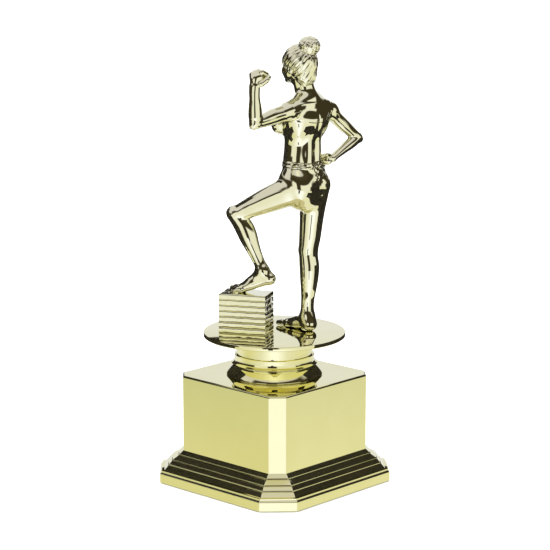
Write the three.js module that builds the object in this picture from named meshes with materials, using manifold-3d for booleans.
// A figure trophy: a moulded athlete with one foot on a ribbed step, on a round plate, a flared collar
// and a chamfered square plinth with a stepped skirt. A tie rod clamps the stack to a cast ballast.
// Millimetres, +Z up, the figure faces -Y, the origin is on the resting surface under the tie rod.
import * as THREE from "three";
import { mergeVertices } from "three/addons/utils/BufferGeometryUtils.js";
import Module from "manifold-3d";

const wasm = await Module();
wasm.setup();

// ---- Driving dimensions -------------------------------------------------------------------------------------
const CLEARANCE = 0.3; // between a piece and the hole or pocket that it fits
const REST_GAP = 0.05; // under a sculpted piece that stands on a flat one
const MITRE = 2 - Math.SQRT2; // how much a corner chamfer's leg shrinks for each millimetre of inset

const skirtAcross = 80; // across the flats at the foot
const skirtLeg = 11; // leg of the corner chamfer at the foot
const skirtWall = 2.2;
const bandHeight = 3.8; // plain band at the foot of the skirt
const mouldings = [
  // above the band: how far in, and how far up, to the next corner of the profile
  [0.2, 0.2],
  [0.7, 0.7],
  [0, 0.8],
  [1.2, 0.1],
  [1.4, 1.9],
  [0.6, 0.2],
  [1, 1.7],
  [0.5, 0.2],
  [2.3, 1.8],
  [0.5, 0.1],
  [1.6, 1.4],
];
const rimLift = 0.5; // the rim stays this far above the surface, on the foot pads

const openingSetback = 0.2; // the skirt's opening is this much wider all round than the plinth's inside
const plinthHeight = 32.6; // plain box above the skirt
const plinthWall = 2.2;
const plinthTopThickness = 2.5;
const plinthEdge = 0.7; // rounding of the top edges
const plinthEdgeSteps = 3;

const collarHeight = 9.2;
const collarBaseRadius = 20.2;
const collarWaistRadius = 17.4; // at the groove half way up
const collarBeadRadius = 18.2;
const collarWall = 2;
const collarWeb = 2.2;

const stemRadius = 16.2; // short neck under the plate
const stemHeight = 7.4;
const stemWall = 2;
const stemBeadRadius = 17.1;
const stemBeadHeight = 1.7;
const plateRadius = 30;
const plateThickness = 1.8;
const bossWall = 2.1; // round the flange of the threaded insert

const rodRadius = 3.15;
const rodLift = 4.6; // lower end of the rod above the surface
const insertWall = 1.15;
const insertFlangeWidth = 1;
const insertFlangeHeight = 1.2;
const rodCover = 1.4; // plate metal left above the blind bore

const nutAcross = 11.1;
const nutHeight = 5.6;
const lockWasherRadius = 6.2;
const lockWasherHeight = 1.6;
const lockWasherSplit = 1.2;
const plateWasherRadius = 12.5;
const plateWasherHeight = 1.6;
const counterboreMargin = 2; // round the plate washer

const padRadius = 4.5;
const padMargin = 1; // from a foot pad to the edge of the cover
const coverThickness = 1.6;
const padHeight = 1.2;
const ballastFlange = 2.2; // height of the ballast's foot flange
const flangeSetback = 2.8; // from the flange's edge to the inside of the skirt's foot

const screwRadius = 1.3;
const screwLength = 6;
const screwHeadRadius = 2.6;
const screwHeadHeight = 1.2;
const screwBossRadius = 3.2;

const figureStature = 120; // sole to crown of the standing figure, without the hair bun
const stepLength = 20.4;
const stepWidth = 12.6;
const stepLayers = 7;
const stepLayerHeight = 2.42;
const stepGroove = 0.55; // depth of the V grooves between the layers
const stepTurn = 27; // degrees that the step and the foot on it point outwards
const pegRadius = 1.2;
const socketDepth = 2; // of the hole in the step that takes the raised foot's peg

const roundSegments = 40;

// ---- Levels that follow from them ---------------------------------------------------------------------------
const mouldingsInset = mouldings.reduce((sum, [inset]) => sum + inset, 0);
const mouldingsRise = mouldings.reduce((sum, [, rise]) => sum + rise, 0);
const skirtTop = rimLift + bandHeight + mouldingsRise;
const plinthAcross = skirtAcross - 2 * mouldingsInset;
const plinthLeg = skirtLeg - ((skirtAcross - plinthAcross) / 2) * MITRE;
const plinthTop = skirtTop + plinthHeight;
const collarTop = plinthTop + collarHeight;
const plateTop = collarTop + stemHeight + plateThickness;
const stepHeight = stepLayers * stepLayerHeight;
const coverBottom = padHeight;
const coverTop = coverBottom + coverThickness;
const padOffset = skirtAcross / 2 - skirtWall - CLEARANCE - padMargin - padRadius;
const ballastAcross = plinthAcross - 2 * (plinthWall + CLEARANCE);
const ballastLeg = plinthLeg - (plinthWall + CLEARANCE) * MITRE;
const ballastDiagonal = (ballastAcross - ballastLeg) / Math.SQRT2; // from the middle to a chamfered corner
const screwDiagonal = ballastDiagonal + 2 * CLEARANCE + screwBossRadius;
const insertRadius = rodRadius + CLEARANCE + insertWall;
const insertFlange = insertRadius + insertFlangeWidth;
const bossRadius = insertFlange + CLEARANCE + bossWall;

// ---- Helpers ------------------------------------------------------------------------------------------------
/** A closed three.js geometry as a manifold-3d solid. */
function solid(geometry) {
  const bare = geometry.clone();
  bare.deleteAttribute("normal");
  bare.deleteAttribute("uv");
  const merged = mergeVertices(bare, 1e-4);
  const triVerts = new Uint32Array(merged.index.array);
  const vertProperties = new Float32Array(merged.attributes.position.array);
  return new wasm.Manifold(new wasm.Mesh({ numProp: 3, vertProperties, triVerts }));
}

/** A manifold-3d solid as a three.js geometry. */
function geometryOf(shape) {
  const mesh = shape.getMesh();
  const geometry = new THREE.BufferGeometry();
  geometry.setAttribute("position", new THREE.BufferAttribute(new Float32Array(mesh.vertProperties), 3));
  geometry.setIndex(new THREE.BufferAttribute(new Uint32Array(mesh.triVerts), 1));
  geometry.computeVertexNormals();
  return geometry;
}

const union = (shapes) => shapes.reduce((all, shape) => all.add(shape));

/** A square with chamfered corners, as a flat outline. */
function chamferedSquare(across, leg) {
  const half = across / 2;
  const edge = half - leg;
  const outline = new THREE.Shape();
  outline.moveTo(half, -edge);
  outline.lineTo(half, edge);
  outline.lineTo(edge, half);
  outline.lineTo(-edge, half);
  outline.lineTo(-half, edge);
  outline.lineTo(-half, -edge);
  outline.lineTo(-edge, -half);
  outline.lineTo(edge, -half);
  outline.closePath();
  return outline;
}

/** A straight prism on an outline between two heights. */
function prism(outline, bottom, top) {
  const geometry = new THREE.ExtrudeGeometry(outline, { depth: top - bottom, bevelEnabled: false });
  return solid(geometry.translate(0, 0, bottom));
}

/** A square slab between two levels whose four sides lean in by an inset. */
function leaningSquare(across, lean, bottom, top) {
  const corner = Math.SQRT1_2 * across;
  const shape = new THREE.CylinderGeometry(corner - Math.SQRT2 * lean, corner, top - bottom, 4);
  shape.rotateY(Math.PI / 4).rotateX(Math.PI / 2);
  return solid(shape.translate(0, 0, (bottom + top) / 2));
}

/** A chamfered square slab whose eight sides lean in by an inset. */
function leaningSlab(across, leg, lean, bottom, top) {
  const corners = leaningSquare((across - leg) * Math.SQRT2, lean, bottom, top);
  return leaningSquare(across, lean, bottom, top).intersect(corners.rotate([0, 0, 45]));
}

/** A turned shape from [radius, height] pairs that start and end on the axis or close on themselves. */
function turned(profile, segments = roundSegments) {
  const points = profile.map(([r, z]) => new THREE.Vector2(r, z));
  return solid(new THREE.LatheGeometry(points, segments).rotateX(Math.PI / 2));
}

/** A round bar or hole between two heights. */
function cylinder(radius, bottom, top, segments = 32) {
  return turned([[0, bottom], [radius, bottom], [radius, top], [0, top]], segments);
}

/** A turned tube between two heights. */
function tube(outer, inner, bottom, top, segments = 40) {
  return turned([[inner, bottom], [outer, bottom], [outer, top], [inner, top], [inner, bottom]], segments);
}

// ---- Skirt, plinth, ballast and cover -----------------------------------------------------------------------
/** The skirt's profile as one solid block, shrunk all round by an inset and lowered by a drop. */
function skirtBlock(inset, drop, foot) {
  const legAt = (offset) => skirtLeg - offset * MITRE;
  let offset = inset;
  let level = rimLift + bandHeight - drop;
  const slabs = [prism(chamferedSquare(skirtAcross - 2 * inset, legAt(inset)), foot, level)];
  for (const [lean, rise] of mouldings) {
    const across = skirtAcross - 2 * offset;
    let slab = prism(chamferedSquare(across, legAt(offset)), foot, level + rise);
    if (lean > 0) {
      const deeper = (level - foot) / rise + 1; // the slope runs on down past the foot
      const grown = lean * deeper;
      const slope = leaningSlab(across + 2 * grown, legAt(offset - grown), grown + lean, foot - rise, level + rise);
      slab = slab.intersect(slope);
    }
    slabs.push(slab);
    offset += lean;
    level += rise;
  }
  return union(slabs);
}

function screwSites() {
  const reach = screwDiagonal / Math.SQRT2;
  return [[reach, reach], [-reach, reach], [-reach, -reach], [reach, -reach]];
}

function skirtShell() {
  const openingInset = plinthWall - openingSetback;
  const openingAcross = plinthAcross - 2 * openingInset;
  const openingLeg = plinthLeg - openingInset * MITRE;
  let hollow = skirtBlock(skirtWall, skirtWall / 2, 0);
  for (const [x, y] of screwSites()) {
    const boss = cylinder(screwBossRadius, coverTop, skirtTop, 20);
    const pilot = cylinder(screwRadius + CLEARANCE, coverTop - 1, coverBottom + screwLength + CLEARANCE, 16);
    hollow = hollow.subtract(boss.translate([x, y, 0])).add(pilot.translate([x, y, 0]));
  }
  const opening = prism(chamferedSquare(openingAcross, openingLeg), coverTop, skirtTop + 1);
  return skirtBlock(0, 0, rimLift).subtract(hollow.add(opening));
}

function plinthShell() {
  const shoulder = plinthTop - plinthEdge;
  const slabs = [prism(chamferedSquare(plinthAcross, plinthLeg), skirtTop, shoulder)];
  const turn = Math.PI / 2 / plinthEdgeSteps;
  for (let i = 0; i < plinthEdgeSteps; i++) {
    const inset = (step) => plinthEdge * (1 - Math.cos(step * turn));
    const level = (step) => shoulder + plinthEdge * Math.sin(step * turn);
    const across = plinthAcross - 2 * inset(i);
    const leg = plinthLeg - inset(i) * MITRE;
    slabs.push(leaningSlab(across, leg, inset(i + 1) - inset(i), level(i), level(i + 1)));
  }
  const outer = union(slabs);
  const cavity = prism(
    chamferedSquare(plinthAcross - 2 * plinthWall, plinthLeg - plinthWall * MITRE),
    skirtTop - 1,
    plinthTop - plinthTopThickness,
  );
  return outer.subtract(cavity).subtract(cylinder(rodRadius + CLEARANCE, skirtTop, plinthTop + 1));
}

const flangeBottom = coverTop + 0.4;
const flangeTop = flangeBottom + ballastFlange;
const counterboreTop = rodLift + 1 + nutHeight + lockWasherHeight + plateWasherHeight;

function ballast() {
  const body = prism(chamferedSquare(ballastAcross, ballastLeg), flangeBottom, plinthTop - plinthTopThickness);
  const flangeAcross = skirtAcross - 2 * (skirtWall + flangeSetback + CLEARANCE);
  const flangeLeg = flangeAcross - ballastDiagonal * Math.SQRT2; // flush with the body's corners
  const flange = prism(chamferedSquare(flangeAcross, flangeLeg), flangeBottom, flangeTop);
  return body
    .add(flange)
    .subtract(cylinder(plateWasherRadius + counterboreMargin, flangeBottom - 1, counterboreTop, roundSegments))
    .subtract(cylinder(rodRadius + CLEARANCE, flangeBottom, plinthTop));
}

function bottomCover() {
  const inset = skirtWall + CLEARANCE;
  const outline = chamferedSquare(skirtAcross - 2 * inset, skirtLeg - inset * MITRE);
  let plate = prism(outline, coverBottom, coverTop);
  for (const [x, y] of screwSites()) {
    plate = plate.subtract(countersunk(CLEARANCE).translate([x, y, 0]));
  }
  return plate;
}

/** A countersunk screw, or the hole that clears it when it is grown. */
function countersunk(grow) {
  const shank = screwRadius + grow;
  const head = screwHeadRadius + grow;
  const foot = coverBottom - (grow ? 1 : 0);
  const cone = coverBottom + screwHeadHeight;
  const tip = coverBottom + screwLength;
  const point = 1.2;
  return turned(
    [
      [0, foot],
      [head, foot],
      [head, coverBottom],
      [shank, cone],
      [shank, tip - point],
      [0, tip],
    ],
    20,
  );
}

function coverScrew() {
  const slotWidth = 0.7;
  const slotDepth = 0.6;
  const bar = new THREE.BoxGeometry(2 * screwHeadRadius * 0.62, slotWidth, slotDepth);
  const cross = solid(bar).add(solid(bar.clone().rotateZ(Math.PI / 2)));
  return countersunk(0).subtract(cross.translate([0, 0, coverBottom]));
}

const footPad = () =>
  turned([[0, 0], [padRadius - 0.3, 0], [padRadius, 0.3], [padRadius, padHeight], [0, padHeight]], 28);

// ---- Fasteners ----------------------------------------------------------------------------------------------
const nutBottom = counterboreTop - plateWasherHeight - lockWasherHeight - nutHeight;

function hexNut() {
  const corner = nutAcross / Math.sqrt(3);
  const outline = new THREE.Shape();
  for (let i = 0; i < 6; i++) {
    const angle = (i * Math.PI) / 3;
    outline[i ? "lineTo" : "moveTo"](corner * Math.cos(angle), corner * Math.sin(angle));
  }
  outline.closePath();
  const top = nutBottom + nutHeight;
  const blank = prism(outline, nutBottom, top);
  const flat = nutAcross / 2 - 0.2;
  const chamfer = turned([
    [0, nutBottom],
    [flat, nutBottom],
    [corner, nutBottom + 0.7],
    [corner, top - 0.7],
    [flat, top],
    [0, top],
  ]);
  return blank.intersect(chamfer).subtract(cylinder(rodRadius + CLEARANCE, nutBottom - 1, top + 1));
}

function lockWasher() {
  const bottom = nutBottom + nutHeight;
  const ring = tube(lockWasherRadius, rodRadius + CLEARANCE + 0.2, bottom, bottom + lockWasherHeight);
  const split = new THREE.BoxGeometry(lockWasherRadius * 1.5, lockWasherSplit, lockWasherHeight * 4);
  const cut = solid(split.translate(lockWasherRadius * 0.95, 0, 0).rotateX(0.45));
  return ring.subtract(cut.translate([0, 0, bottom + lockWasherHeight / 2]));
}

function plateWasher() {
  const top = counterboreTop;
  return tube(plateWasherRadius, rodRadius + CLEARANCE, top - plateWasherHeight, top, roundSegments);
}

const boreTop = plateTop - rodCover;

function tieRod() {
  const top = boreTop - CLEARANCE - 0.7;
  const point = 0.8;
  return turned(
    [
      [0, rodLift],
      [rodRadius - point, rodLift],
      [rodRadius, rodLift + point],
      [rodRadius, top - point],
      [rodRadius - point, top],
      [0, top],
    ],
    32,
  );
}

function threadedInsert() {
  const inner = rodRadius + CLEARANCE;
  const top = boreTop - CLEARANCE;
  const flangeTopLevel = collarTop + insertFlangeHeight;
  return turned(
    [
      [inner, collarTop + 0.1],
      [insertFlange, collarTop + 0.1],
      [insertFlange, flangeTopLevel],
      [insertRadius, flangeTopLevel],
      [insertRadius, top],
      [inner, top],
      [inner, collarTop + 0.1],
    ],
    40,
  );
}

// ---- Collar and plate ---------------------------------------------------------------------------------------
function collar() {
  const z = (share) => plinthTop + collarHeight * share;
  const inside = collarWaistRadius - collarWall;
  return turned([
    [rodRadius + CLEARANCE, z(1)],
    [rodRadius + CLEARANCE, z(1) - collarWeb],
    [inside - 2, z(1) - collarWeb],
    [inside, z(0.45)],
    [collarBaseRadius - collarWall, z(0)],
    [collarBaseRadius, z(0)],
    [collarBaseRadius + 0.1, z(0.08)],
    [collarBaseRadius - 0.6, z(0.2)],
    [collarWaistRadius + 0.45, z(0.44)],
    [collarWaistRadius, z(0.48)],
    [collarWaistRadius, z(0.51)],
    [collarBeadRadius, z(0.55)],
    [collarBeadRadius, z(0.6)],
    [stemRadius + 0.6, z(0.88)],
    [stemRadius, z(1)],
    [rodRadius + CLEARANCE, z(1)],
  ]);
}

/** A locating peg between two heights, or its hole when it is grown. */
const peg = (bottom, top, grow = 0) => cylinder(pegRadius + grow, bottom, top, 16);

/** Where the figure's and the step's pegs go into the plate. */
const platePegs = () => [...stepPegs(), [rightFoot.x, rightFoot.y]];

function plate() {
  const underside = plateTop - plateThickness;
  const bead = underside - stemBeadHeight;
  const ceiling = underside - 0.6;
  const bore = insertRadius + CLEARANCE;
  const flangeBore = insertFlange + CLEARANCE;
  const flangeCeiling = collarTop + insertFlangeHeight + CLEARANCE;
  let body = turned([
    [0, boreTop],
    [bore, boreTop],
    [bore, flangeCeiling],
    [flangeBore, flangeCeiling],
    [flangeBore, collarTop],
    [bossRadius, collarTop],
    [bossRadius, ceiling],
    [stemRadius - stemWall, ceiling],
    [stemRadius - stemWall, collarTop],
    [stemRadius, collarTop],
    [stemRadius, bead],
    [stemBeadRadius, bead + 0.3],
    [stemBeadRadius, underside],
    [plateRadius - 0.9, underside],
    [plateRadius - 0.2, underside + 0.25],
    [plateRadius, underside + 0.7],
    [plateRadius, plateTop - 0.5],
    [plateRadius - 0.15, plateTop - 0.15],
    [plateRadius - 0.5, plateTop],
    [0, plateTop],
  ]);
  for (const [x, y] of platePegs()) {
    const hole = peg(plateTop - plateThickness - 1, plateTop + 1, CLEARANCE);
    body = body.subtract(hole.translate([x, y, 0]));
  }
  return body;
}

// ---- Figure -------------------------------------------------------------------------------------------------
// The pose is set in the figure's own units: the nominal figure is 120 tall, its frame is the row's, and z is 0
// at the sole. stature turns them into millimetres.
const nominalStature = 120;
const k = figureStature / nominalStature;
const CAP_RINGS = 3; // rings in the round end of a limb
const at = (x, y, z) => new THREE.Vector3(x * k, y * k, z * k);

/** The joint between two bones of given lengths, bent towards a direction. */
function middleJoint(start, end, first, second, towards) {
  const span = end.clone().sub(start);
  const reach = Math.min(span.length(), (first + second) * 0.999);
  const along = (first * first - second * second + reach * reach) / (2 * reach);
  const out = Math.sqrt(Math.max(first * first - along * along, 0));
  const axis = span.normalize();
  const side = towards.clone().addScaledVector(axis, -towards.dot(axis)).normalize();
  return start.clone().addScaledVector(axis, along).addScaledVector(side, out);
}

/** A limb turned about its bone from [share of the bone, radius] pairs, with round ends. */
function limb(from, to, stations, flatten = 1, segments = 9) {
  const bone = to.clone().sub(from);
  const length = bone.length();
  const points = [];
  const first = stations[0][1] * k;
  const last = stations[stations.length - 1][1] * k;
  for (let a = 0; a < CAP_RINGS; a++) {
    const angle = (a / CAP_RINGS) * (Math.PI / 2);
    points.push(new THREE.Vector2(first * Math.sin(angle), -first * Math.cos(angle)));
  }
  for (const [share, radius] of stations) points.push(new THREE.Vector2(radius * k, share * length));
  for (let a = CAP_RINGS - 1; a >= 0; a--) {
    const angle = (a / CAP_RINGS) * (Math.PI / 2);
    points.push(new THREE.Vector2(last * Math.sin(angle), length + last * Math.cos(angle)));
  }
  points[0].x = 0;
  points[points.length - 1].x = 0;
  const geometry = new THREE.LatheGeometry(points, segments);
  geometry.scale(1, 1, flatten);
  const turn = new THREE.Quaternion().setFromUnitVectors(new THREE.Vector3(0, 1, 0), bone.normalize());
  return solid(geometry.applyQuaternion(turn).translate(from.x, from.y, from.z));
}

/** An ellipsoid with its half axes given, leaning about X and turned about Z in degrees. */
function blob(centre, rx, ry, rz, lean = 0, turn = 0) {
  const geometry = new THREE.SphereGeometry(1, 10, 7).scale(rx * k, ry * k, rz * k);
  geometry.rotateX(THREE.MathUtils.degToRad(lean)).rotateZ(THREE.MathUtils.degToRad(turn));
  return solid(geometry.translate(centre.x, centre.y, centre.z));
}

// Joints of the pose, in the figure's units except where the step's height comes in.
const outward = THREE.MathUtils.degToRad(stepTurn);
const toeWay = new THREE.Vector3(Math.sin(outward), -Math.cos(outward), 0); // the raised foot's direction
const rightFoot = at(-10.4, 2.5, 0);
const rightHip = at(-12.2, 11.8, 62.6);
const leftHip = at(-1.2, 11.6, 62.2);
const rightAnkle = at(-11, 8.8, 5.8);
const leftBall = at(9.6, -9.6, 1.6).add(new THREE.Vector3(0, 0, stepHeight));
const leftHeel = leftBall.clone().addScaledVector(toeWay, -12.3 * k).add(at(0, 0, 4.6));
const leftAnkle = leftBall.clone().addScaledVector(toeWay, -9 * k).add(at(0, 0, 8));
const leftToe = leftBall.clone().addScaledVector(toeWay, 4.6 * k).add(at(0, 0, -0.2));
const rightKnee = middleJoint(rightHip, rightAnkle, 28.6 * k, 28.4 * k, new THREE.Vector3(-0.1, -1, 0));
const leftKnee = middleJoint(leftHip, leftAnkle, 29.3 * k, 26 * k, new THREE.Vector3(0.48, -1, 0.45));
const waist = at(-5.9, 10.6, 76);
const chest = at(-6.6, 10.7, 88);
const rightShoulder = at(-19.6, 13.2, 93.4);
const leftShoulder = at(4.4, 13, 94.6);
const leftElbow = at(24.5, 12.4, 91.8);
const leftWrist = at(24.5, 12, 106.4);
const leftFist = at(21.6, 12, 110.1);
const rightElbow = at(-33.6, 16.2, 80.3);
const rightWrist = at(-18.6, 15.6, 73.2);
const rightHand = at(-16, 10.8, 72);
const neckBase = at(-6.8, 11.9, 97.5);
const skull = at(-6, 8.9, 113.2);
const bun = at(-6.6, 13.7, 120.8);

function figureLegs() {
  return [
    limb(rightHip, rightKnee, [[0, 6.3], [0.25, 6.2], [0.5, 5.4], [0.8, 4.3], [1, 3.9]]),
    limb(rightKnee, rightAnkle, [[0, 3.9], [0.2, 4.2], [0.4, 4.3], [0.7, 3.1], [0.9, 2.5], [1, 2.5]]),
    limb(leftHip, leftKnee, [[0, 6.2], [0.25, 6.1], [0.5, 5.2], [0.8, 4.2], [1, 3.8]]),
    limb(leftKnee, leftAnkle, [[0, 3.8], [0.2, 4.1], [0.4, 4.1], [0.7, 3], [0.9, 2.5], [1, 2.5]]),
    limb(leftAnkle, leftHeel, [[0, 2.4], [1, 2.1]]),
    limb(leftHeel, leftBall, [[0, 2], [0.5, 2.2], [1, 2]]),
    limb(leftAnkle, leftBall, [[0, 2.3], [1, 1.8]]),
    limb(leftBall, leftToe, [[0, 2], [0.6, 1.7], [1, 1.2]]),
    limb(rightAnkle, at(-9.7, 11.6, 2.2), [[0, 2.4], [1, 2.2]]),
    limb(at(-9.9, 11.4, 2.1), at(-10.7, -1, 1.7), [[0, 2.1], [0.5, 2.3], [1, 2.4]]),
    limb(rightAnkle, at(-10.6, -0.6, 1.8), [[0, 2.3], [1, 1.7]]),
    limb(at(-10.7, -1, 1.6), at(-10.8, -4.4, 1.3), [[0, 2.5], [1, 1.6]]),
  ];
}

function figureTrunk() {
  return [
    blob(at(-6.5, 10.9, 64.4), 10.4, 7.2, 7.8),
    blob(at(-11, 13.7, 61.6), 5.7, 4.9, 5.9),
    blob(at(-2.4, 13.7, 61.6), 5.7, 4.9, 5.9),
    limb(at(-6.2, 10.6, 66), waist, [[0, 8.8], [0.6, 8.2], [1, 8]], 0.88, 14),
    limb(waist, chest, [[0, 8], [0.5, 8.5], [1, 9]], 0.86, 14),
    blob(at(-7.3, 11.4, 87.5), 10.2, 7.4, 9.2),
    blob(at(-7.5, 12.6, 93.4), 12, 5.2, 4.8),
    blob(at(-10.9, 3.1, 88), 4.4, 4.3, 4.3),
    blob(at(-1.7, 3.1, 88), 4.4, 4.3, 4.3),
    limb(at(-14, 12.8, 95.2), neckBase, [[0, 3.2], [1, 4]]),
    limb(at(-1.2, 12.8, 96), neckBase, [[0, 3.2], [1, 4]]),
    limb(neckBase, at(-6.2, 10.4, 107.5), [[0, 4.2], [0.4, 4], [1, 4.1]]),
  ];
}

function figureHead() {
  return [
    blob(skull, 6.7, 8.3, 8.5, 10),
    limb(at(-6, 8.8, 108.8), at(-5.9, 3.9, 106.6), [[0, 4.6], [1, 2.6]]),
    blob(at(-5.9, 4.6, 111.8), 5.2, 4.2, 6.4),
    blob(bun, 4.3, 4.3, 4.2),
  ];
}

function figureArms() {
  return [
    blob(leftShoulder, 4.4, 4, 4),
    limb(leftShoulder, leftElbow, [[0, 3.7], [0.25, 3.4], [0.6, 3.2], [0.9, 2.6], [1, 2.6]]),
    limb(leftElbow, leftWrist, [[0, 2.8], [0.3, 3], [0.7, 2.3], [1, 1.9]]),
    limb(leftWrist, leftFist, [[0, 1.9], [1, 2.6]]),
    blob(leftFist, 3.8, 3.4, 3.6, 0, 0),
    blob(rightShoulder, 4.2, 3.9, 4.2),
    limb(rightShoulder, rightElbow, [[0, 3.6], [0.3, 3.3], [0.6, 3], [0.9, 2.6], [1, 2.6]]),
    limb(rightElbow, rightWrist, [[0, 2.6], [0.25, 2.8], [0.7, 2.1], [1, 1.7]]),
    limb(rightWrist, rightHand, [[0, 1.7], [0.4, 2], [1, 2]]),
  ];
}

function figureSolid() {
  const body = union([...figureLegs(), ...figureTrunk(), ...figureHead(), ...figureArms()]);
  const floorDepth = 20;
  const belowFloor = new THREE.BoxGeometry(figureStature, figureStature, floorDepth);
  belowFloor.translate(0, 0, REST_GAP - floorDepth / 2);
  const rightPeg = peg(-plateThickness + CLEARANCE, 2).translate([rightFoot.x, rightFoot.y, 0]);
  const leftPeg = peg(stepHeight - socketDepth + CLEARANCE, stepHeight + 2);
  return body
    .subtract(solid(belowFloor))
    .subtract(stepZone())
    .add(rightPeg)
    .add(leftPeg.translate([leftBall.x, leftBall.y, 0]));
}

// ---- Step ---------------------------------------------------------------------------------------------------
const stepCentre = at(9, -7.9, 0);

/** The room of the step and a margin round it, up to the level that the raised foot stands on. */
function stepZone() {
  const box = new THREE.BoxGeometry(stepWidth * 1.5, stepLength * 1.3, stepHeight);
  return solid(box.rotateZ(outward).translate(stepCentre.x, stepCentre.y, stepHeight / 2 + REST_GAP));
}

function stepPegs() {
  const shift = toeWay.clone().multiplyScalar(stepLength / 4);
  return [
    [stepCentre.x + shift.x, stepCentre.y + shift.y],
    [stepCentre.x - shift.x, stepCentre.y - shift.y],
  ];
}

function stepBlock() {
  const layers = [];
  for (let i = 0; i < stepLayers; i++) {
    const outline = new THREE.Shape();
    const x = stepWidth / 2 - stepGroove;
    const y = stepLength / 2 - stepGroove;
    outline.moveTo(-x, -y).lineTo(x, -y).lineTo(x, y).lineTo(-x, y).closePath();
    const layer = new THREE.ExtrudeGeometry(outline, {
      depth: stepLayerHeight - 2 * stepGroove,
      bevelEnabled: true,
      bevelThickness: stepGroove,
      bevelSize: stepGroove,
      bevelSegments: 1,
    });
    layers.push(solid(layer.translate(0, 0, i * stepLayerHeight + stepGroove)));
  }
  const coreWidth = stepWidth - 4 * stepGroove;
  const core = new THREE.BoxGeometry(coreWidth, stepLength - 4 * stepGroove, stepHeight * 0.98);
  const block = union([...layers, solid(core.translate(0, 0, stepHeight / 2))]);
  const turnedBlock = block.rotate([0, 0, stepTurn]).translate([stepCentre.x, stepCentre.y, 0]);
  const pegs = stepPegs().map(([x, y]) => peg(-plateThickness + CLEARANCE, 1).translate([x, y, 0]));
  const socket = peg(stepHeight - socketDepth, stepHeight + 1, CLEARANCE);
  return union([turnedBlock, ...pegs]).subtract(socket.translate([leftBall.x, leftBall.y, 0]));
}

// ---- The assembly -------------------------------------------------------------------------------------------
const gold = new THREE.MeshStandardMaterial({ color: 0xe9e3a8, metalness: 1, roughness: 0.08 });
const brass = new THREE.MeshStandardMaterial({ color: 0xb5963f, metalness: 1, roughness: 0.35 });
const zinc = new THREE.MeshStandardMaterial({ color: 0xb9bcc0, metalness: 1, roughness: 0.35 });
const plaster = new THREE.MeshStandardMaterial({ color: 0x9a968d, metalness: 0, roughness: 0.95 });
const board = new THREE.MeshStandardMaterial({ color: 0x1d1d1f, metalness: 0, roughness: 0.8 });
const rubber = new THREE.MeshStandardMaterial({ color: 0x151515, metalness: 0, roughness: 0.9 });

const trophy = new THREE.Group();

function place(name, shape, material, x = 0, y = 0, z = 0) {
  const mesh = new THREE.Mesh(geometryOf(shape), material);
  mesh.name = name;
  mesh.position.set(x, y, z);
  trophy.add(mesh);
}

place("skirt_shell", skirtShell(), gold);
place("plinth_shell", plinthShell(), gold);
place("ballast", ballast(), plaster);
place("bottom_cover", bottomCover(), board);
screwSites().forEach(([x, y], i) => place(`cover_screw_${i + 1}`, coverScrew(), zinc, x, y));
[[padOffset, 0], [0, padOffset], [-padOffset, 0], [0, -padOffset]].forEach(([x, y], i) =>
  place(`foot_pad_${i + 1}`, footPad(), rubber, x, y),
);
place("hex_nut", hexNut(), zinc);
place("lock_washer", lockWasher(), zinc);
place("plate_washer", plateWasher(), zinc);
place("tie_rod", tieRod(), zinc);
place("collar", collar(), gold);
place("figure_plate", plate(), gold);
place("threaded_insert", threadedInsert(), brass);
place("step_block", stepBlock(), gold, 0, 0, plateTop);
place("figure", figureSolid(), gold, 0, 0, plateTop);

export default trophy;
